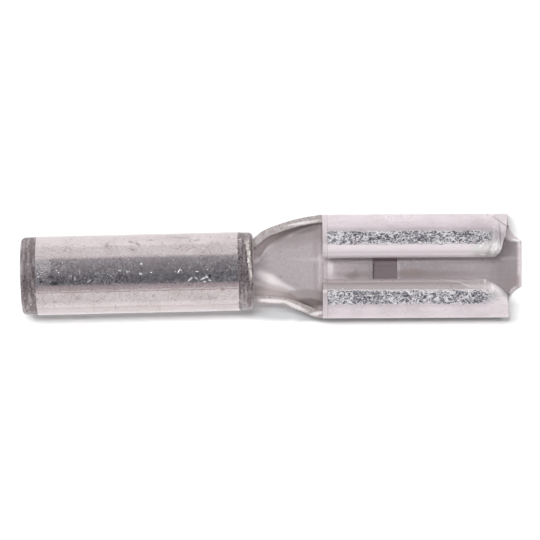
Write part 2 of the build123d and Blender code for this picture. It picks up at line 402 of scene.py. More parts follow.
# the band swells a little before the sharp step up to the full radius
section += [(k["band"] - 0.06, k["radius"] - k["bandDrop"] * 0.6),
            (k["band"] - k["bandEdge"], k["radius"] - k["bandDrop"] * 0.5),
            (k["band"] + k["bandEdge"], k["radius"]), (k["band"] + 0.05, k["radius"])]
halfSection = list(section)
middleStart = section[-1][0]
section += [(x, k["radius"]) for x in spread(middleStart, k["length"] - middleStart, k["stretches"])[1:]]
section += [(k["length"] - x, y) for x, y in reversed(halfSection)]

bpy.ops.object.select_all(action="DESELECT")
bpy.ops.mesh.primitive_circle_add(vertices=k["around"], radius=k["bore"] * mm, rotation=(0, radians(90), 0))
sleeve = startPiece("sleeveTube")
bpy.ops.object.transform_apply(location=True, rotation=True, scale=True)
enterEdit(sleeve)
bpy.ops.mesh.select_all(action="SELECT")
bpy.ops.transform.translate(value=(-section[0][0] * mm, 0, 0))
lastAlong, lastRadius = section[0]
for along, radius in section[1:]:
    extrudeBy(lastAlong - along, 0, 0)
    bpy.ops.transform.resize(value=(1, radius / lastRadius, radius / lastRadius), center_override=(0, 0, 0))
    lastAlong, lastRadius = along, radius
# the bore back to the front, then closed on its first ring
for station in reversed(spread(section[0][0], k["length"] - section[0][0], k["boreStretches"])[1:]):
    extrudeBy(lastAlong - station, 0, 0)
    lastAlong = station
extrudeBy(lastAlong - section[0][0], 0, 0)
closeMesh()
sleeve.rotation_euler = (0, 0, radians(s["barrelYaw"]))
sleeve.location = sleeveFront * mm
bpy.ops.object.transform_apply(location=True, rotation=True, scale=True)
bpy.ops.object.shade_smooth_by_angle(angle=radians(k["smoothBelow"]))
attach(sleeve, "root")
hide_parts("barrel_sleeve")

report("mixing the finishes")


# a node's output; sums and products with it make Math nodes
class Value:
    def __init__(self, bench, socket):
        self.bench, self.socket = bench, socket

    def __abs__(self):
        return self.bench.math("ABSOLUTE", self)


for sign, operation in (("add", "ADD"), ("sub", "SUBTRACT"), ("mul", "MULTIPLY"), ("truediv", "DIVIDE")):
    setattr(Value, "__%s__" % sign, lambda a, b, how=operation: a.bench.math(how, a, b))
    setattr(Value, "__r%s__" % sign, lambda a, b, how=operation: a.bench.math(how, b, a))
columnHeight = 100000  # makes a mark run through the part's whole height


# makes nodes in one tree; its methods take values, plain numbers and colours, and give values
class Bench:
    def __init__(self, tree):
        self.nodes, self.links = tree.nodes, tree.links

    def feed(self, given, socket):
        if isinstance(given, Value):
            self.links.new(given.socket, socket)
        elif socket.type == "RGBA" and len(given) == 3:
            socket.default_value = (*given, 1)
        else:
            socket.default_value = given

    def make(self, kind, inputs, **settings):
        node = self.nodes.new("ShaderNode" + kind)
        for name, setting in settings.items():
            setattr(node, name, setting)
        for name, given in inputs.items():
            self.feed(given, node.inputs[name])
        return node

    # makes a node and gives one of its outputs
    def value(self, kind, inputs, output=0, **settings):
        return Value(self, self.make(kind, inputs, **settings).outputs[output])

    # all of a node's outputs by name
    def named(self, node):
        return {output.name: Value(self, output) for output in node.outputs}

    def math(self, operation, a, b=0.0):
        return self.value("Math", {0: a, 1: b}, operation=operation)

    def ranged(self, value, low, high, toLow=0.0, toHigh=1.0, smooth=True):
        inputs = {"Value": value, "From Min": low, "From Max": high, "To Min": toLow, "To Max": toHigh}
        return self.value("MapRange", inputs, "Result", interpolation_type="SMOOTHSTEP" if smooth else "LINEAR")

    # evenly from a to b as share goes from 0 to 1
    def between(self, share, a, b):
        return self.ranged(share, 0, 1, a, b, smooth=False)

    # one between low and high, falling off over soft on either side
    def window(self, value, low, high, soft):
        return self.ranged(value, low - soft, low) * self.ranged(value, high, high + soft, 1, 0)

    def blend(self, factor, a, b, how="MIX"):
        return self.value("Mix", {0: factor, 6: a, 7: b}, 2, data_type="RGBA", blend_type=how)

    # object coordinates in millimetres, moved and turned about Z first if asked
    def place(self, centre=(0, 0, 0), turn=0, stretch=(1, 1, 1)):
        inputs = {"Vector": self.value("TexCoord", {}, "Object"), "Location": [c * mm for c in centre],
                  "Rotation": (0, 0, radians(turn)), "Scale": [f * mm for f in stretch]}
        return self.value("Mapping", inputs, vector_type="TEXTURE")

    def split(self, vector):
        return list(self.named(self.make("SeparateXYZ", {0: vector})).values())

    # distance from a place, as a share of an upright elliptic column's half axes
    def reach(self, spot, turn, size):
        inputs = {0: self.place((*spot, 0), turn, (*size, columnHeight))}
        return self.value("VectorMath", inputs, "Value", operation="LENGTH")

    # a ramp along a value, from pairs of place and grey or colour
    def ramp(self, value, stops):
        first, last = stops[0][0], stops[-1][0]
        node = self.make("ValToRGB", {"Fac": self.ranged(value, first, last, smooth=False)})
        elements = node.color_ramp.elements
        while len(elements) < len(stops):
            elements.new(0.5)
        for element, (at, tone) in zip(elements, stops):
            element.position = (at - first) / (last - first)
            element.color = (*tone, 1) if isinstance(tone, tuple) else (tone, tone, tone, 1)
        return Value(self, node.outputs["Color"])

    def noise(self, vector, scale, detail=2.0, roughness=0.5, distortion=0.0):
        inputs = {"Vector": vector, "Scale": scale, "Detail": detail, "Roughness": roughness, "Distortion": distortion}
        return self.value("TexNoise", inputs, "Fac")

    # noise about zero
    def wander(self, vector, amount, *settings):
        return (self.noise(vector, *settings) - 0.5) * amount

    def group(self, tree, **inputs):
        return self.named(self.make("Group", inputs, node_tree=tree))


def startGroup(name, inputs, outputs):
    tree = bpy.data.node_groups.new(name, "ShaderNodeTree")
    tree.interface.new_socket(name="Place", in_out="INPUT", socket_type="NodeSocketVector")
    for title, value in inputs.items():
        tree.interface.new_socket(name=title, in_out="INPUT", socket_type="NodeSocketFloat").default_value = value
    for title in outputs:
        tree.interface.new_socket(name=title, in_out="OUTPUT", socket_type="NodeSocketFloat")
    bench = Bench(tree)
    return tree, bench, bench.named(tree.nodes.new("NodeGroupInput"))


def endGroup(tree, bench, **results):
    output = tree.nodes.new("NodeGroupOutput")
    for name, value in results.items():
        bench.feed(value, output.inputs[name])
    return tree


# the fine and the slow unevenness of a tin coat
def buildTinCoat():
    tree, bench, given = startGroup("tinCoat", {"Grain": 0.13}, ["Height", "Cloud"])
    fine = bench.noise(given["Place"], 1.0 / given["Grain"], 3.0, 0.6, 0.3)
    slow = bench.noise(given["Place"], 0.18 / given["Grain"])
    return endGroup(tree, bench, Height=fine, Cloud=slow)


# short twisted flecks, as where the coat has crazed over a bend; the more cover, the more dark there is
def buildFlecks():
    tree, bench, given = startGroup("crazedFlecks", {"Size": 0.12, "Cover": 0.5}, ["Dark", "Light", "Height"])
    twisted = bench.noise(given["Place"], 1.0 / given["Size"], 2.0, 0.6, 1.9)
    dark = bench.ranged(bench.between(given["Cover"], 0.32, 0.58) - twisted, -0.03, 0.03)
    # bright curls run along the middle level of two more noises
    curls = []
    for scale, level in ((0.62, 0.47), (0.48, 0.53)):
        other = bench.noise(given["Place"], scale / given["Size"], 1.0, 0.5, 1.2)
        curls.append(bench.ranged(abs(other - level), 0.012, 0.045, 1.0, 0.0))
    return endGroup(tree, bench, Dark=dark, Light=bench.math("MAXIMUM", *curls), Height=twisted)


# separate small spots of uneven size and outline
def buildSpots():
    tree, bench, given = startGroup("scatteredSpots", {"Spacing": 0.3, "Radius": 0.3, "Share": 0.3}, ["Mask"])
    cells = bench.named(bench.make("TexVoronoi", {"Vector": given["Place"], "Scale": 1.0 / given["Spacing"]}))
    lot = bench.named(bench.make("SeparateColor", {0: cells["Color"]}))
    ragged = bench.noise(given["Place"], 2.5 / given["Spacing"])
    reach = given["Radius"] * bench.between(lot["Green"], 0.4, 1.2)
    reach = reach * bench.ranged(ragged, 0.3, 0.7, 0.5, 1.5, smooth=False)
    inside = bench.ranged(reach - cells["Distance"], -0.03, 0.03)
    return endGroup(tree, bench, Mask=inside * bench.math("LESS_THAN", lot["Red"], given["Share"]))


# lines drawn one way by the rolls, as a soft height and as thin marks
def buildDrawLines():
    tree, bench, given = startGroup("drawLines", {"Pitch": 0.08, "Length": 25.0, "Marks": 0.3}, ["Height", "Mask"])
    x, y, z = bench.split(given["Place"])
    stretched = bench.value("CombineXYZ", {0: x / given["Length"], 1: y, 2: z})
    lines = bench.noise(stretched, 1.0 / given["Pitch"], 2.5, 0.6)
    level = bench.between(given["Marks"], 0.75, 0.45)
    return endGroup(tree, bench, Height=lines, Mask=bench.ranged(lines - level, 0.0, 0.06))


tinCoat, crazedFlecks = buildTinCoat(), buildFlecks()
scatteredSpots, drawLines = buildSpots(), buildDrawLines()
cloudLevels = (0.3, 0.7)


# a material whose colour and metallic value are laid on in layers
class Finish(Bench):
    def __init__(self, name, look, **where):
        self.material = bpy.data.materials.new(name)
        self.material.use_nodes = True
        super().__init__(self.material.node_tree)
        self.nodes.clear()
        self.shader = self.make("BsdfPrincipled", {})
        self.make("OutputMaterial", {"Surface": Value(self, self.shader.outputs["BSDF"])})
        self.look, self.colour, self.metallic = look, look["tone"], look["metallic"]
        self.spot = self.place(**where)

    # lays a tone where the mask says, weakened by strength, and a metallic value if one is given
    def lay(self, mask, tone, strength=None, metal=None):
        self.colour = self.blend(mask if strength is None else mask * strength, self.colour, tone)
        if metal is not None:
            self.metallic = self.between(mask, self.metallic, metal)

    # lays the look's soft-edged marks, each given as place, half axes, turn, softness, tone, metallic, strength
    def layMarks(self, ragged):
        for spot, size, turn, soft, tone, metal, strength in self.look["marks"]:
            mask = self.ranged(self.reach(spot, turn, size) + ragged, 1 - soft, 1 + soft, strength, 0)
            self.lay(mask, tone, metal=metal)

    # a node group with the look's settings, at the finish's own place or another
    def put(self, tree, name, place=None):
        return self.group(tree, Place=place or self.spot, **self.look[name])

    # a range, a window, noise about zero and ranged noise by their names in the look
    def step(self, value, name, **more):
        return self.ranged(value, *self.look[name], **more)

    def strip(self, value, name):
        return self.window(value, *self.look[name])

    def stray(self, name):
        return self.wander(self.spot, *self.look[name])

    def grains(self, noise, levels):
        return self.step(self.noise(self.spot, *self.look[noise]), levels)

    # roughness comes from the coat's clouds; the bumps' depths are in millimetres
    def close(self, cloud, *heights):
        rough = self.ranged(cloud, *cloudLevels, *self.look["roughness"], smooth=False)
        linked = {}
        for height, depth in zip(heights, self.look["depths"]):
            linked = {"Normal": self.value("Bump", {"Distance": depth * mm, "Height": height, **linked}, "Normal")}
        for name, given in (("Base Color", self.colour), ("Metallic", self.metallic), ("Roughness", rough),
                            ("Normal", linked["Normal"])):
            self.feed(given, self.shader.inputs[name])
        return self.material


# outside of the folded sheet: bright tin, crazed along the crests of the two rails
outsideLook = dict(
    tone=(0.735, 0.655, 0.685), shade=(0.63, 0.56, 0.585), metallic=0.6, roughness=(0.26, 0.38),
    patches=(0.64, 0.94), grain=(11, 3, 0.8), grainShade=(0.42, 0.62, 0, 0.16),
    # the strip low on the -Y side is painted shade
    lowShadeStrip=(-1.62, -1.72, 0, 0.45), upper=(0.75, 0.95), frontEnd=(7.6, 7.9, 1, 0),
    uneven=(0.12, 4, 3, 0.7), marksRagged=4, burrRagged=5, endRagged=6, glintShift=(3, 1, 2),
    coat=dict(Grain=0.09), slowCoat=dict(Grain=0.2), depths=(0.003, 0.003, 0.03),
    lines=dict(Pitch=0.055, Length=16, Marks=0.42), drawnLayer=((0.57, 0.5, 0.52), 0.5),
    spots=dict(Spacing=0.3, Radius=0.14, Share=0.3), spotLayer=((0.42, 0.34, 0.36), 0.45),
    glints=dict(Spacing=0.22, Radius=0.15, Share=0.25), glintLayer=((0.88, 0.85, 0.86), 0.5),
    # painted light and shade along the rails' inner flanks, darker and duller on the -Y one and lighter on the +Y one:
    # window across, tone, strength, metallic
    flankLightAndShade=[((-0.85, -0.6, 0.06), (0.46, 0.41, 0.415), None, 0.6), ((0.3, 0.8, 0.06), (0.76, 0.69, 0.72), None, 0.22)],
    # painted light along their tips: window across and strength
    tips=[((0.28, 0.44, 0.05), 0.9), ((-0.58, -0.45, 0.05), 0.35)], tip=((0.93, 0.85, 0.87), None, 0.05),
    aboveFloor=(0.3, 0.4),
    # a painted highlight line beside the -Y band, and painted shade in a strip and a line at the rails' rolled rear end
    line=(-0.95, -0.875, 0.03), highlightLineLayer=((0.88, 0.82, 0.83), 0.8, 0.3),
    rearShadeStrip=(1.9, 1.97, 0.03), rearShadeStripLayer=((0.6, 0.54, 0.55), 0.5),
    rearShadeLine=(2.02, 2.045, 0.015), rearShadeLineLayer=((0.46, 0.41, 0.42), 0.6),
    # short strokes of a rubbed burr at the +Y rail's front: an ellipse, and strokes across it
    burr=((7.98, 0.78), 10, (0.42, 0.46)), burrEdge=(0.7, 1.1, 0.85, 0), strokeTurn=66,
    strokes=dict(Pitch=0.07, Length=4, Marks=0.62), strokeTone=(0.93, 0.93, 0.91),
    dents=(0.36, 0.44, 0.75, 0), dentTone=(0.44, 0.42, 0.42),
    # middle and half breadth of the two crazed bands, and how densely each is crazed along X; the bands are partly the
    # coat's crazing and partly a painted reflection of the dark gap overhead
    crests=((1.035, 0.235), (-1.145, 0.25)),
    crestStart=(2, 2.05), crestEnd=(7.75, 8.35, 1, 0), coverEnd=(7.4, 8, 0, 0.5),
    density=([(2, 0.92), (2.6, 0.88), (3.3, 0.72), (4.1, 0.6), (4.9, 0.74), (5.7, 0.74), (6.1, 0.92),
              (7.5, 1), (7.8, 0.5)],
             [(2, 0.84), (2.6, 0.98), (3.8, 0.92), (4.3, 0.72), (5.2, 0.72), (5.7, 0.5), (6, 0.52),
              (6.4, 0.88), (7.6, 0.88)]),
    crestEdge=(0.95, 1.1, 1, 0), crestCover=(0.1, 1.1, 1.98, 0.42), clusters=(2.4, 1.8),
    fleckSize=0.125, fleckStretch=(1.35, 1, 1), crestDarkReflectionLayer=((0.42, 0.405, 0.44), 0.28),
    darkTones=((0.085, 0.088, 0.105), (0.31, 0.305, 0.335)), grit=(15, 2, 0.7), gritLevels=(0.38, 0.62),
    curls=(0.15, 0.5, 0.3, 1), curlLayer=((0.92, 0.9, 0.92), 0.72, 0.3),
    marks=[
        ((7.95, 0.62), (0.62, 0.42), 8, 0.35, (0.7, 0.68, 0.67), 0.35, 0.85),  # pale patch at the +Y rail's front
        ((7.95, 0.6), (0.05, 0.22), -18, 0.6, (0.52, 0.49, 0.49), 0.6, 0.5),
        ((7.72, 0.4), (0.1, 0.03), -8, 0.6, (0.95, 0.95, 0.93), 0.1, 0.8),
        ((7.64, 0.72), (0.05, 0.05), 0, 0.5, (0.93, 0.93, 0.91), 0.2, 0.8),
        ((8.14, 0.62), (0.04, 0.28), -20, 0.5, (0.95, 0.94, 0.92), 0.1, 0.7),
        ((8.33, 1.15), (0.03, 0.5), 3, 0.6, (0.38, 0.35, 0.36), 0.7, 0.7),  # line along its front lip
        ((8.42, 1.78), (0.26, 0.15), -25, 0.3, (0.6, 0.56, 0.56), 0.5, 0.55),  # dented corner
        ((8.36, 1.6), (0.3, 0.028), -38, 0.5, (0.34, 0.3, 0.31), 0.7, 0.75),
        ((8.16, 1.8), (0.12, 0.03), 15, 0.5, (0.46, 0.42, 0.43), 0.6, 0.6),
        ((8.25, -0.95), (0.36, 0.52), 0, 0.35, (0.7, 0.655, 0.66), 0.4, 0.85),  # painted highlight on the flared front of the -Y rail
        ((7.9, -1), (0.045, 0.36), 8, 0.5, (0.55, 0.49, 0.5), 0.5, 0.75),  # painted shade in the crease behind it
        ((7.8, -0.52), (0.05, 0.12), -10, 0.5, (0.92, 0.9, 0.9), 0.1, 0.8),
        ((8.33, -0.88), (0.46, 0.02), -51, 0.6, (0.3, 0.26, 0.27), 0.7, 0.55),  # painted shade and highlight along the outline of the flare
        ((8.25, -0.98), (0.4, 0.02), -51, 0.6, (0.88, 0.84, 0.84), 0.2, 0.5),
        ((8.22, -1.25), (0.1, 0.03), -15, 0.6, (0.46, 0.41, 0.41), 0.6, 0.5),
        ((8.05, -0.8), (0.03, 0.14), 10, 0.6, (0.93, 0.91, 0.91), 0.1, 0.6),
        ((8.12, -0.62), (0.12, 0.03), -25, 0.6, (0.5, 0.45, 0.45), 0.6, 0.5),
        ((7.3, -0.46), (0.75, 0.03), -8, 0.5, (0.86, 0.8, 0.81), 0.2, 0.7),  # the bent-up tip catches light
        ((7.45, -0.7), (0.42, 0.13), -6, 0.5, (0.66, 0.6, 0.605), 0.4, 0.6),
        ((6.6, -0.565), (0.34, 0.02), -10, 0.6, (0.86, 0.8, 0.81), 0.2, 0.55),  # painted highlight and shade along the crease where its bend starts
        ((7.02, -0.68), (0.26, 0.02), -27, 0.6, (0.86, 0.8, 0.81), 0.2, 0.5),
        ((7.05, -0.75), (0.26, 0.016), -27, 0.6, (0.38, 0.33, 0.34), 0.5, 0.4),
        ((6.55, -0.75), (0.04, 0.035), 0, 0.5, (0.34, 0.28, 0.29), 0.6, 0.8),
    ],
)


def buildOutside(look):
    bench = Finish("sheetOutside", look)
    x, y, z = bench.split(bench.spot)
    coat, slow = bench.put(tinCoat, "coat"), bench.put(tinCoat, "slowCoat")
    lines = bench.put(drawLines, "lines")
    patchy = bench.step(slow["Cloud"] + coat["Height"] * 0.5, "patches")
    # random patches and grain, and painted shade low on the -Y rail's outer side
    for mask in (patchy, bench.grains("grain", "grainShade"), bench.step(y, "lowShadeStrip")):
        bench.lay(mask, look["shade"])
    high = bench.step(z, "upper")
    front = bench.step(x, "frontEnd")
    uneven = bench.stray("uneven")
    shifted = y + uneven
    # painted light and shade on the rails' inner flanks and along their tips
    for across, *layer in look["flankLightAndShade"]:
        bench.lay(bench.window(y, *across) * high * front, *layer)
    for across, strength in look["tips"]:
        bench.lay(bench.window(y, *across) * bench.step(z, "aboveFloor") * front * strength, *look["tip"])
    # a painted highlight line beside the -Y band, and painted shade at the rails' rear end
    bench.lay(bench.strip(shifted, "line") * high, *look["highlightLineLayer"])
    bench.lay(bench.strip(x, "rearShadeStrip") * high, *look["rearShadeStripLayer"])
    bench.lay(bench.strip(x, "rearShadeLine"), *look["rearShadeLineLayer"])
    bench.lay(lines["Mask"], *look["drawnLayer"])
    bench.lay(bench.put(scatteredSpots, "spots")["Mask"], *look["spotLayer"])
    bench.lay(bench.put(scatteredSpots, "glints", bench.place(look["glintShift"]))["Mask"], *look["glintLayer"])
    bench.layMarks(uneven * look["marksRagged"])
    strokes = bench.put(drawLines, "strokes", bench.place(turn=look["strokeTurn"]))
    burr = bench.step(bench.reach(*look["burr"]) + uneven * look["burrRagged"], "burrEdge")
    bench.lay(strokes["Mask"], look["strokeTone"], burr)
    bench.lay(bench.step(strokes["Height"], "dents"), look["dentTone"], burr)

    # the crests, crazed and with a painted reflection of the dark gap overhead: dark in the middle of a band, in
    # clusters, and thinning out to its edges
    crest, cover = 0.0, 0.0
    for (middle, half), density in zip(look["crests"], look["density"]):
        off = abs(shifted - middle) / half
        crest += bench.step(off, "crestEdge")
        cover += bench.step(off, "crestCover") * bench.ramp(x, density)
    along = x + uneven * look["endRagged"]
    cover += bench.stray("clusters")
    cover -= bench.step(along, "coverEnd")
    crest = crest * high * bench.step(x, "crestStart") * bench.step(along, "crestEnd")
    flecks = bench.group(crazedFlecks, Place=bench.place(stretch=look["fleckStretch"]), Size=look["fleckSize"],
                         Cover=cover)
    # painted dark reflection over the crests, then the flecks and curls
    bench.lay(crest, *look["crestDarkReflectionLayer"])
    bench.lay(flecks["Dark"], bench.blend(bench.grains("grit", "gritLevels"), *look["darkTones"]), crest)
    bench.lay(flecks["Light"] * crest * bench.step(cover, "curls"), *look["curlLayer"])
    return bench.close(slow["Cloud"], coat["Height"], lines["Height"], flecks["Height"] * crest)


# inside of the folded sheet: the satin trough, the receptacle's floor and the tongue
insideLook = dict(
    tone=(0.86, 0.775, 0.8), shade=(0.78, 0.69, 0.71), metallic=0.5, roughness=(0.26, 0.36),
    grain=(9, 3, 0.7), grainShade=(0.35, 0.65), uneven=(0.5, 5, 3, 0.7),
    coat=dict(Grain=0.14), depths=(0.005, 0.003),
    lines=dict(Pitch=0.09, Length=7, Marks=0.4), lineStrength=0.25,
    spots=dict(Spacing=0.3, Radius=0.15, Share=0.25), spotLayer=((0.4, 0.33, 0.34), 0.35),
    # painted shade: the trough's walls are darker and browner than its floor, most so on the +Y side and away from the
    # mouth
    wallShadeTone=(0.32, 0.27, 0.27), wallHeights=(0.55, 0.68), wallAlong=(-0.4, 0.4, 0.35, 0.85),
    wallAcross=(-0.6, 0.4, 0.35, 1), wallSlant=0.4, wallEnd=(1.75, 1.85, 1, 0),
    # painted light and shade along X: how much of its tone the floor keeps at these places; the fine lines are painted
    # highlights and shade at the step in it
    lightAndShadeAlong=[(-0.8, 0.85), (0.2, 0.8), (1.45, 0.82), (1.61, 0.74), (1.69, 0.82), (1.73, 1), (1.81, 1), (1.84, 0.78),
             (1.9, 0.72), (1.93, 0.92), (2.00, 0.94), (2.03, 0.72), (2.07, 0.98), (2.24, 1), (2.42, 0.86), (3, 0.76),
             (3.55, 0.68), (3.62, 0.6), (3.66, 0.72), (3.72, 0.66), (4.62, 0.92), (4.69, 0.88), (4.75, 0.66), (6, 0.66),
             (7.3, 0.74), (7.9, 0.68), (8.4, 0.56), (9.03, 0.56), (9.07, 0.98), (9.2, 1)],
    marks=[
        ((-0.22, -0.38), (0.62, 0.17), -27, 0.7, (0.96, 0.9, 0.9), 0.05, 0.95),  # painted highlight: a bright streak at the mouth
        ((0.6, -0.78), (0.5, 0.09), -27, 0.9, (0.84, 0.78, 0.785), 0.1, 0.7),
        ((0.55, -0.98), (0.45, 0.14), -20, 0.7, (0.52, 0.46, 0.46), 0.5, 0.5),
        ((-0.1, -0.95), (0.6, 0.24), -8, 0.6, (0.68, 0.6, 0.59), 0.3, 0.8),
        ((1.25, -1.18), (0.9, 0.34), 0, 0.18, (0.52, 0.455, 0.45), 0.5, 0.8),  # painted shade in the -Y bend
        ((1.42, -1.32), (0.46, 0.15), -6, 0.4, (0.26, 0.21, 0.21), 0.5, 0.85),
        ((0.98, 1.08), (1, 0.26), 10, 0.9, (0.44, 0.38, 0.38), 0.4, 0.8),
        ((0.38, 1.1), (0.4, 0.13), 38, 0.5, (0.34, 0.29, 0.29), 0.5, 0.75),  # and painted shade below the +Y rim
        ((1.1, 1.36), (0.62, 0.15), 8, 0.5, (0.32, 0.275, 0.275), 0.5, 0.85),
        ((5.1, 0.26), (3.2, 0.13), 0, 0.5, (0.9, 0.83, 0.84), 0.2, 0.8),  # painted light on the slot's +Y side
        ((5, -0.3), (2.4, 0.13), 0, 0.5, (0.44, 0.37, 0.37), 0.5, 0.75),  # painted shade along the slot's -Y side
        ((2.98, -0.36), (0.26, 0.1), 0, 0.8, (0.34, 0.27, 0.27), 0.5, 0.6),
        ((3.08, -0.24), (0.07, 0.14), -12, 0.8, (0.4, 0.33, 0.33), 0.5, 0.6),
        ((2.17, 0), (0.1, 0.36), 0, 0.6, (0.95, 0.9, 0.9), 0.1, 0.6),  # painted highlight at the foot of the ramp
        ((5.2, -0.26), (0.5, 0.16), 0, 0.5, (0.42, 0.33, 0.32), 0.5, 0.5),
        ((8.95, -0.62), (0.36, 0.22), 30, 0.5, (0.46, 0.36, 0.355), 0.5, 0.5),
        ((8.8, 0.8), (0.12, 0.3), 0, 0.5, (0.4, 0.36, 0.36), 0.5, 0.6),
        ((8.83, 1.15), (0.26, 0.24), -38, 0.25, (0.84, 0.76, 0.775), 0.2, 0.9),  # painted highlights on the bent corners beside the tongue
        ((9.02, 0.93), (0.16, 0.045), -12, 0.4, (0.96, 0.95, 0.95), 0.05, 0.9),
        ((8.95, -0.93), (0.2, 0.12), 42, 0.35, (0.78, 0.7, 0.7), 0.3, 0.8),
    ],
)


def buildInside(look):
    bench = Finish("sheetInside", look)
    x, y, z = bench.split(bench.spot)
    coat, lines = bench.put(tinCoat, "coat"), bench.put(drawLines, "lines")
    bench.lay(bench.grains("grain", "grainShade"), look["shade"])
    bench.lay(lines["Mask"], look["shade"], look["lineStrength"])
    # painted light and shade along X
    bench.colour = bench.blend(1, bench.colour, bench.ramp(x, look["lightAndShadeAlong"]), "MULTIPLY")
    # painted shade on the trough's walls
    wall = bench.step(z, "wallHeights") * bench.step(x, "wallAlong")
    wall = wall * bench.step(y + x * look["wallSlant"], "wallAcross")
    bench.lay(wall * bench.step(x, "wallEnd"), look["wallShadeTone"])
    bench.layMarks(bench.stray("uneven"))
    bench.lay(bench.put(scatteredSpots, "spots")["Mask"], *look["spotLayer"])
    return bench.close(coat["Cloud"], coat["Height"], lines["Height"])


# the cut edges of the sheet
edgeLook = dict(
    tone=(0.585, 0.525, 0.52), shade=(0.44, 0.375, 0.37), metallic=0.4, roughness=(0.34, 0.34),
    coat=dict(Grain=0.08), depths=(0.008,), grainShade=(0.35, 0.65),
    flecks=dict(Size=0.13, Cover=0.3), lightLayer=((0.92, 0.9, 0.89), 0.3),
    darkLayer=((0.42, 0.34, 0.34), 0.4),
    marks=[
        ((1.15, 1.6), (0.6, 0.05), 9, 0.5, (0.93, 0.87, 0.86), 0.1, 0.85),  # painted highlights: bright stretches of the rims
        ((1.66, -1.72), (0.24, 0.06), 10, 0.7, (0.95, 0.92, 0.92), 0.1, 0.8),
        ((0, -1.25), (0.55, 0.07), -4, 0.5, (0.95, 0.9, 0.89), 0.1, 0.85),
        ((0.85, -1.45), (0.45, 0.07), -24, 0.5, (0.93, 0.87, 0.87), 0.1, 0.8),
        ((9.15, 0.1), (0.14, 0.75), 0, 0.3, (0.82, 0.75, 0.76), 0.3, 0.7),  # painted highlight on the tongue's bevel
    ],
)


def buildEdge(look):
    bench = Finish("sheetEdge", look)
    coat, flecks = bench.put(tinCoat, "coat"), bench.put(crazedFlecks, "flecks")
    bench.lay(bench.step(coat["Height"], "grainShade"), look["shade"])
    bench.lay(flecks["Light"], *look["lightLayer"])
    bench.layMarks(0.0)
    bench.lay(flecks["Dark"], *look["darkLayer"])
    return bench.close(coat["Cloud"], coat["Height"])


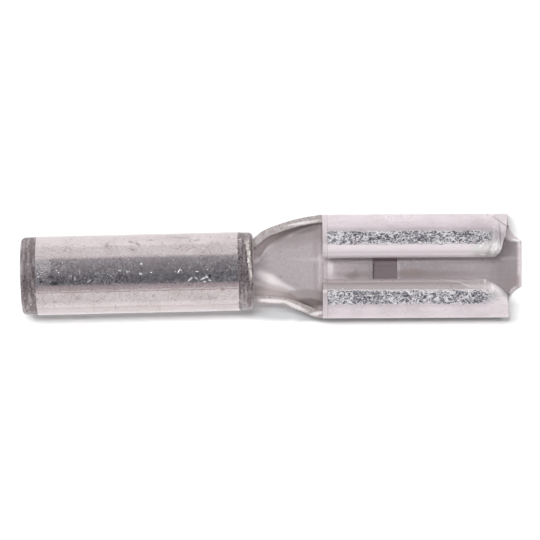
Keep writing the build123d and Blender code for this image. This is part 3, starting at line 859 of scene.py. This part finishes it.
# the sleeve between its bands: mirror-bright, with drawing lines, fine crazing, pits and small bright nicks
middleLook = dict(
    tone=(0.665, 0.6, 0.605), shade=(0.55, 0.48, 0.485), metallic=1, roughness=(0.1, 0.17),
    coat=dict(Grain=0.075), depths=(0.0036, 0.0018, 0.008),
    lines=dict(Pitch=0.05, Length=30, Marks=0.34), lineStrength=0.4,
    slow=(1.1, 3, 0.6), slowShade=(0.38, 0.66, 0, 0.6),
    grain=(13, 3, 0.8), grainShade=(0.42, 0.66, 0, 0.7),
    grainLight=(0.4, 0.28, 0, 0.7), lightTone=(0.84, 0.78, 0.78),
    # painted shade low on the sleeve's flank
    lowFlankShade=(50, 62, 0, 0.55),  # from here on angles are degrees below the sleeve's top
    # fine crazing between small cells
    cells=2.6, crackBreadth=(0, 0.07, 1, 0), crackBreaks=(0.4, 0.6),
    crackPlaces=(0.4, 0.6, 0.15, 0.75), craze=(0.38, 0.3, 0.3),
    # two scored lines: angle and half width
    scores=[(26, 0.5), (56.5, 0.45)], scoreBreaks=(0.3, 0.6, 0.3, 0.85), scoreTone=(0.4, 0.3, 0.29),
    scoreSoft=0.5, wobble=(2.5, 3), ragged=1.4, darkStreakRagged=6, stripeLightRagged=0.2,
    # a broken dark streak 7 to 14.5 degrees below the sleeve's top, of a strength that changes along X
    tarnish=(7, 14.5, 5.5), darkStreakTone=(0.19, 0.18, 0.2), darkStreakBreaks=(0.42, 0.6, 0.05, 0.8),
    darkStreakAlong=[(-8.5, 0.5), (-8, 0.9), (-4.5, 1), (-3.6, 0.6), (-2, 0.55), (-0.5, 0.7)],
    # black specks, more of them low in the dark reflection and towards the trough
    speckAround=[(-30, 0), (-22, 0.2), (8, 0.3), (15, 0.42), (18, 0)], speckAlong=(-4.6, -1.2, 1, 2.3),
    speckSize=0.11, speckLayer=((0.28, 0.27, 0.29), 0.55),
    curlPlaces=(0.35, 0.6, 0.15, 0.5), curlLayer=((0.78, 0.77, 0.79), None, 0.75),
    pits=dict(Spacing=0.22, Radius=0.17, Share=0.42),
    largePits=dict(Spacing=0.75, Radius=0.1, Share=0.5),
    pitShares=(("pits", 0.5), ("largePits", 0.6)), pit=(0.3, 0.25, 0.26),
    nicks=dict(Spacing=0.16, Radius=0.15, Share=0.32), nickShift=(2, 1, 3), nearTop=(-22, 14, 4),
    nickStrength=(0.45, 0.75), nickLayer=((0.93, 0.92, 0.92), None, 0.55),
    # painted light over the dark reflection beside the rear band, where that reflection starts late
    rubbed=(-7.92, -7.4, 0.1), stripeLightLayer=((0.68, 0.64, 0.65), None, 0.62),
    stripeLightAround=[(-60, 0.1), (-27, 0.35), (-22, 0.9), (-10, 0.75), (-2, 0.35), (14, 0.2), (17, 0)],
    stripeLightBreaks=(0.36, 0.6, 1, 0.35),
    marks=[
        ((-5.99, 0.82), (0.06, 0.09), -20, 0.5, (0.4, 0.35, 0.36), 1, 0.9),  # pits
        ((-5.12, 0.93), (0.09, 0.035), -20, 0.6, (0.36, 0.3, 0.3), 1, 0.9),
        ((-4.87, 0.85), (0.1, 0.04), -30, 0.6, (0.34, 0.29, 0.29), 1, 0.9),
        ((-5.05, 0.64), (0.09, 0.035), -20, 0.6, (0.36, 0.3, 0.3), 1, 0.8),
        ((-1.79, -0.81), (0.07, 0.06), 0, 0.5, (0.38, 0.32, 0.32), 1, 0.9),
        ((-7.06, -1.11), (0.09, 0.07), 0, 0.5, (0.46, 0.39, 0.39), 1, 0.8),
        ((-4.3, -1.03), (0.04, 0.05), 0, 0.5, (0.42, 0.36, 0.36), 1, 0.8),
        ((-3.39, 1.08), (0.38, 0.022), -6, 0.6, (0.38, 0.35, 0.36), 1, 0.85),  # scratches
        ((-2.73, 0.98), (0.12, 0.03), 8, 0.6, (0.38, 0.34, 0.35), 1, 0.85),
        ((-2.97, 0.96), (0.04, 0.03), 0, 0.6, (0.38, 0.34, 0.35), 1, 0.8),
        ((-3.36, -0.13), (0.025, 0.09), -29, 0.5, (0.9, 0.9, 0.9), 0.4, 1),  # nicks in the dark reflection
        ((-2.71, -0.16), (0.06, 0.02), 0, 0.5, (0.9, 0.9, 0.9), 0.4, 1),
        ((-2.96, -0.44), (0.1, 0.028), 40, 0.6, (0.88, 0.87, 0.86), 0.4, 1),
        ((-2.74, -0.4), (0.08, 0.022), -40, 0.6, (0.78, 0.77, 0.78), 0.5, 1),
        ((-2.48, -0.41), (0.1, 0.028), 25, 0.6, (0.88, 0.87, 0.86), 0.4, 1),
        ((-2.35, -0.35), (0.06, 0.028), -30, 0.6, (0.92, 0.91, 0.9), 0.4, 1),
        ((-2.44, -0.53), (0.05, 0.028), 0, 0.6, (0.85, 0.83, 0.82), 0.4, 1),
        ((-2.25, -0.48), (0.05, 0.028), -30, 0.6, (0.85, 0.83, 0.82), 0.4, 1),
        ((-4.73, 0.13), (0.05, 0.035), 0, 0.5, (0.88, 0.88, 0.88), 0.5, 1),
        ((-4.76, -0.23), (0.05, 0.035), 0, 0.5, (0.88, 0.88, 0.88), 0.5, 1),
        ((-5.5, -0.11), (0.04, 0.03), 0, 0.5, (0.8, 0.8, 0.8), 0.6, 1),
        ((-5.25, -0.14), (0.025, 0.05), 0, 0.5, (0.8, 0.8, 0.8), 0.6, 1),
        ((-7.14, -0.4), (0.025, 0.08), 0, 0.6, (0.75, 0.75, 0.76), 0.7, 0.9),
        ((-6.96, -0.17), (0.015, 0.08), 0, 0.6, (0.78, 0.78, 0.79), 0.7, 0.9),
        ((-6.63, -0.49), (0.09, 0.02), 35, 0.6, (0.8, 0.8, 0.81), 0.6, 0.9),
        ((-8.46, -0.32), (0.03, 0.03), 0, 0.5, (0.9, 0.9, 0.9), 0.5, 1),
        ((-8.37, -0.49), (0.06, 0.04), 0, 0.6, (0.12, 0.11, 0.12), 1, 0.9),  # and black spots in it
        ((-7.88, -0.57), (0.13, 0.06), 0, 0.7, (0.14, 0.13, 0.15), 1, 0.85),
        ((-8.02, -0.32), (0.1, 0.05), 0, 0.7, (0.2, 0.19, 0.21), 1, 0.8),
        ((-2.25, -0.33), (0.05, 0.06), 0, 0.6, (0.14, 0.13, 0.14), 1, 0.9),
    ],
)


# a finish along the sleeve's own axis, and the angle in degrees below its top
def startSleeve(name, look):
    bench = Finish(name, look, centre=sleeveFront, turn=s["barrelYaw"])
    axes = bench.split(bench.spot)
    below = bench.math("DEGREES", bench.math("ARCTAN2", axes[1] * -1, axes[2]))
    return bench, axes, below, bench.put(tinCoat, "coat")


def buildMiddle(look):
    bench, axes, below, coat = startSleeve("sleeveMiddle", look)
    x = axes[0]
    lines = bench.put(drawLines, "lines")
    slow, grain = bench.noise(bench.spot, *look["slow"]), bench.noise(bench.spot, *look["grain"])
    uneven = (grain - 0.5) * look["ragged"]
    bench.lay(bench.step(slow, "slowShade"), look["shade"])
    bench.lay(bench.step(grain, "grainShade"), look["shade"])
    bench.lay(bench.step(grain, "grainLight"), look["lightTone"])
    bench.lay(lines["Mask"], look["shade"], look["lineStrength"])
    # painted shade low on the sleeve's flank
    bench.lay(bench.step(below, "lowFlankShade"), look["shade"])
    edge = bench.value("TexVoronoi", {"Vector": bench.spot, "Scale": look["cells"]}, "Distance",
                       feature="DISTANCE_TO_EDGE")
    cracks = bench.step(edge, "crackBreadth") * bench.step(grain, "crackBreaks")
    bench.lay(cracks, look["craze"], bench.step(slow, "crackPlaces"))
    angle = below + bench.stray("wobble")
    for at, half in look["scores"]:
        score = bench.window(angle, at - half, at + half, look["scoreSoft"])
        bench.lay(score, look["scoreTone"], bench.step(grain, "scoreBreaks"))
    # the dark streak at a fixed angle below the top
    tarnish = bench.strip(angle + grain * look["darkStreakRagged"], "tarnish") * bench.step(grain, "darkStreakBreaks")
    bench.lay(tarnish, look["darkStreakTone"], bench.ramp(x, look["darkStreakAlong"]))
    cover = bench.ramp(below, look["speckAround"]) * bench.step(x, "speckAlong", smooth=False)
    specks = bench.group(crazedFlecks, Place=bench.spot, Size=look["speckSize"], Cover=cover)
    bench.lay(specks["Dark"], *look["speckLayer"])
    pits = [bench.put(scatteredSpots, name)["Mask"] * share for name, share in look["pitShares"]]
    pitted = bench.math("MAXIMUM", *pits)
    bench.lay(pitted, look["pit"])
    nearTop = bench.strip(below, "nearTop")
    nicks = bench.put(scatteredSpots, "nicks", bench.place(look["nickShift"]))["Mask"]
    bench.lay(nicks * bench.ranged(nearTop, 0, 1, *look["nickStrength"]), *look["nickLayer"])
    bench.lay(specks["Light"] * nearTop * bench.step(slow, "curlPlaces"), *look["curlLayer"])
    # painted light over the dark reflection beside the rear band
    rubbed = bench.strip(x + uneven * look["stripeLightRagged"], "rubbed") * bench.ramp(angle, look["stripeLightAround"])
    bench.lay(rubbed * bench.step(grain, "stripeLightBreaks"), *look["stripeLightLayer"])
    bench.layMarks(uneven)
    return bench.close(coat["Cloud"], coat["Height"], lines["Height"], 1 - pitted)


# the sleeve's rolled-in end bands and its bore: matt and speckled, brownish where the tin is thin
bandLook = dict(
    tone=(0.27, 0.23, 0.245), shade=(0.08, 0.068, 0.073), light=(0.5, 0.445, 0.445),
    brown=(0.185, 0.142, 0.142), metallic=0.75, roughness=(0.3, 0.46),
    coat=dict(Grain=0.12), depths=(0.012, 0.016), flecks=dict(Size=0.12, Cover=0.5),
    spots=dict(Spacing=0.17, Radius=0.24, Share=0.3), spotLayer=((0.82, 0.77, 0.76), 0.6),
    # streaks that run round the sleeve: noise squeezed along X
    squeeze=6, rings=(1.5, 3), lightRings=(0.4, 0.5, 0.45, 0), brownRings=(0.48, 0.6, 0, 0.75),
    curls=(0.35, 0.55, 0.75, 0.25), curlStrength=0.5,
    # dark and pale grains in the middle of the front band
    grainsAround=(-40, 22, 15), grainsFrom=(-0.8, -0.6),
    darkNoise=(16, 2, 0.7), darkGrains=(0.38, 0.52, 0.55, 0), grain=(0.035, 0.03, 0.034),
    paleNoise=(12, 2, 0.7), paleGrains=(0.55, 0.64, 0, 0.5),
    # painted highlight: a bright arc on the front band's rounded corner, which is brown in front of it
    arc=(20, -60, 0.06, 0.2), arcUneven=(0.2, 7, 3, 0.7), arcAround=(-48, 4, 18),
    arcBreadth=(-0.025, 0.045, 0.04), arcBreaks=(0.4, 0.6, 0.95, 0.25), highlightArcTone=(0.9, 0.85, 0.79),
    arcMetallic=0.3, corner=(-0.05, -0.1), cornerStrength=0.6,
)


def buildBand(look):
    bench, (x, y, z), below, coat = startSleeve("sleeveBand", look)
    flecks = bench.put(crazedFlecks, "flecks")
    rings = bench.noise(bench.value("CombineXYZ", {0: x * look["squeeze"], 1: y, 2: z}), *look["rings"])
    bench.lay(flecks["Dark"], look["shade"])
    bench.lay(bench.step(rings, "lightRings"), look["light"])
    bench.lay(bench.step(rings, "brownRings"), look["brown"])
    bench.lay(flecks["Light"] * bench.step(rings, "curls"), look["light"], look["curlStrength"])
    bench.lay(bench.put(scatteredSpots, "spots")["Mask"], *look["spotLayer"])
    grained = bench.strip(below, "grainsAround") * bench.step(x, "grainsFrom")
    bench.lay(grained, look["grain"], bench.grains("darkNoise", "darkGrains"))
    bench.lay(grained, look["light"], bench.grains("paleNoise", "paleGrains"))
    # the painted highlight arc on the front band's corner, and the brown in front of it
    arcPlace = bench.step(below, "arc", smooth=False)
    off = x * -1 + bench.stray("arcUneven") - arcPlace
    turned = bench.strip(below, "arcAround")
    broken = bench.step(coat["Height"], "arcBreaks")
    bench.lay(bench.strip(off, "arcBreadth") * turned, look["highlightArcTone"], broken, look["arcMetallic"])
    bench.lay(bench.step(off, "corner") * turned, look["brown"], look["cornerStrength"])
    return bench.close(coat["Cloud"], coat["Height"], flecks["Height"])


for index, made in enumerate((buildOutside(outsideLook), buildInside(insideLook), buildEdge(edgeLook))):
    sheet.data.materials[index] = made
for made in (buildMiddle(middleLook), buildBand(bandLook)):
    sleeve.data.materials.append(made)
for face in sleeve.data.polygons:
    point = face.center / mm
    along = (sleeveFront - point).dot(axisWay)
    out = (point - sleeveFront + axisWay * along).length
    if along < k["band"] or along > k["length"] - k["band"] or out < k["radius"] - 0.1:
        face.material_index = 1

# Floor, light and camera
stageSize = dict(
    floor=0.5, floorGap=0.01, tone=(0.97, 0.97, 0.97), metallic=0,
    # painted shadow on the floor below the window in the sheet, deeper on the -Y side
    enclosedEdge=0.1, windowShadowTone=(0.2, 0.17, 0.18), underRail=(0, 0.3), underRailTone=(0.86, 0.72, 0.76),
    # and painted shadow in the hollow beside the trough
    beside=((0.42, -1.78), 0, (1.2, 0.22)), besideEdge=(0.4, 1.6, 1, 0), besideShadowTone=(0.52, 0.53, 0.54),
    # and a painted contact shadow along the receptacle's near side
    contact=(-1.93, -1.75, 0.2), contactAlong=(1.1, 8.3, 0.4), contactShadowTone=(0.5, 0.5, 0.505),
    # the room by angle across the part: a bright tent, with a darker gap overhead where the lens looks in
    gap=[(-47, (0.62, 0.58, 0.6)), (-32, (0.52, 0.48, 0.5)), (-29, (0.2, 0.208, 0.23)), (10, (0.26, 0.265, 0.285)),
         (48, (0.42, 0.415, 0.44))],
    gapSides=(-50, 53), gapEnds=(44, 56), brightSky=(0.95, 0.95, 0.955), skyForFloor=0.42,
    # a long softbox almost overhead, a little to the rear and the far side, so the shadow is short
    key=dict(energy=0.82, size=0.12, size_y=0.05), keyDistance=0.3, keyX=-0.04, keyTilt=9.5,
    # and a weaker one from the near side, which reaches under the +Y rail
    fill=dict(energy=0.13, size=0.3, size_y=0.1), fillPlace=(0, -0.22, 0.21),
    camera=dict(lens=267, sensor_width=36, clip_start=0.01, clip_end=10),
    distance=148, aim=(-0.065, -0.12), roll=-0.33,
)
g = stageSize
report("setting the stage")
bpy.ops.object.select_all(action="DESELECT")
bpy.ops.mesh.primitive_plane_add(size=g["floor"], location=(0, 0, -g["floorGap"] * mm))
floor = startPiece("studioFloor")
bpy.ops.object.transform_apply(location=True, rotation=True, scale=True)
enterEdit(floor)
bpy.ops.mesh.select_all(action="SELECT")
bpy.ops.mesh.subdivide(number_cuts=3)
leaveEdit()


def buildFloor():
    bench = Finish("floorWhite", g)
    x, y, z = bench.split(bench.spot)
    # painted shadows on the floor: below the window, beside the trough and along the near side
    edge = g["enclosedEdge"]
    windowShadow = bench.window(x, s["windowX"][0] - edge, s["windowX"][1] + edge, edge)
    windowShadow = windowShadow * bench.window(y, -s["windowHalf"] - edge, s["windowHalf"] + edge, edge)
    bench.lay(windowShadow, bench.blend(bench.step(y, "underRail"), g["windowShadowTone"], g["underRailTone"]))
    bench.lay(bench.step(bench.reach(*g["beside"]), "besideEdge"), g["besideShadowTone"])
    bench.lay(bench.strip(y, "contact") * bench.strip(x, "contactAlong"), g["contactShadowTone"])
    for name, given in (("Base Color", bench.colour), ("Roughness", 1), ("Specular IOR Level", 0)):
        bench.feed(given, bench.shader.inputs[name])
    return bench.material


def buildRoom():
    world = bpy.data.worlds.new("tentRoom")
    world.use_nodes = True
    world.node_tree.nodes.clear()
    bench = Bench(world.node_tree)
    x, y, z = bench.split(bench.value("TexCoord", {}, "Generated"))
    across = bench.math("DEGREES", bench.math("ARCTAN2", y, z))
    left, right = [(angle, g["brightSky"]) for angle in g["gapSides"]]
    sky = bench.ramp(across, [(-90, g["brightSky"]), left, *g["gap"], right, (90, g["brightSky"])])
    along = bench.math("DEGREES", bench.math("ARCTAN2", abs(x), z))
    sky = bench.blend(bench.ranged(along, *g["gapEnds"]), sky, g["brightSky"])
    # the camera sees plain white, and less of the room's light falls on matt surfaces
    path = bench.named(bench.make("LightPath", {}))
    strength = bench.ranged(path["Is Diffuse Ray"], 0, 1, 1, g["skyForFloor"])
    room = bench.value("Background", {"Color": sky, "Strength": strength})
    seen = bench.value("Background", {"Color": (1, 1, 1)})
    chosen = bench.value("MixShader", {0: path["Is Camera Ray"], 1: room, 2: seen})
    bench.make("OutputWorld", {"Surface": chosen})
    return world


def putInScene(name, data, location, rotation):
    thing = bpy.data.objects.new(name, data)
    bpy.context.scene.collection.objects.link(thing)
    thing.location, thing.rotation_euler = location, rotation
    return thing


# a rectangular lamp tilted about X, which neither the camera nor a reflection shows
def addSoftbox(name, settings, place, tilt):
    lamp = bpy.data.lights.new(name, "AREA")
    lamp.shape = "RECTANGLE"
    for setting, value in settings.items():
        setattr(lamp, setting, value)
    softbox = putInScene(name, lamp, place, (tilt, 0, 0))
    softbox.visible_glossy = softbox.visible_camera = False


floor.data.materials.append(buildFloor())
bpy.context.scene.world = buildRoom()
tilt = radians(g["keyTilt"])
keyPlace = (g["keyX"], g["keyDistance"] * sin(tilt), g["keyDistance"] * cos(tilt))
addSoftbox("softboxKey", g["key"], keyPlace, -tilt)
addSoftbox("softboxFill", g["fill"], g["fillPlace"], atan2(-g["fillPlace"][1], g["fillPlace"][2]))

cameraData = bpy.data.cameras.new("copyStand")
for setting, value in g["camera"].items():
    setattr(cameraData, setting, value)
cameraPlace = (g["aim"][0] * mm, g["aim"][1] * mm, g["distance"] * mm)
bpy.context.scene.camera = putInScene("copyStand", cameraData, cameraPlace, (0, 0, radians(g["roll"])))
bpy.context.scene.view_settings.view_transform = "Standard"

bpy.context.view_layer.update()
report("handing over")
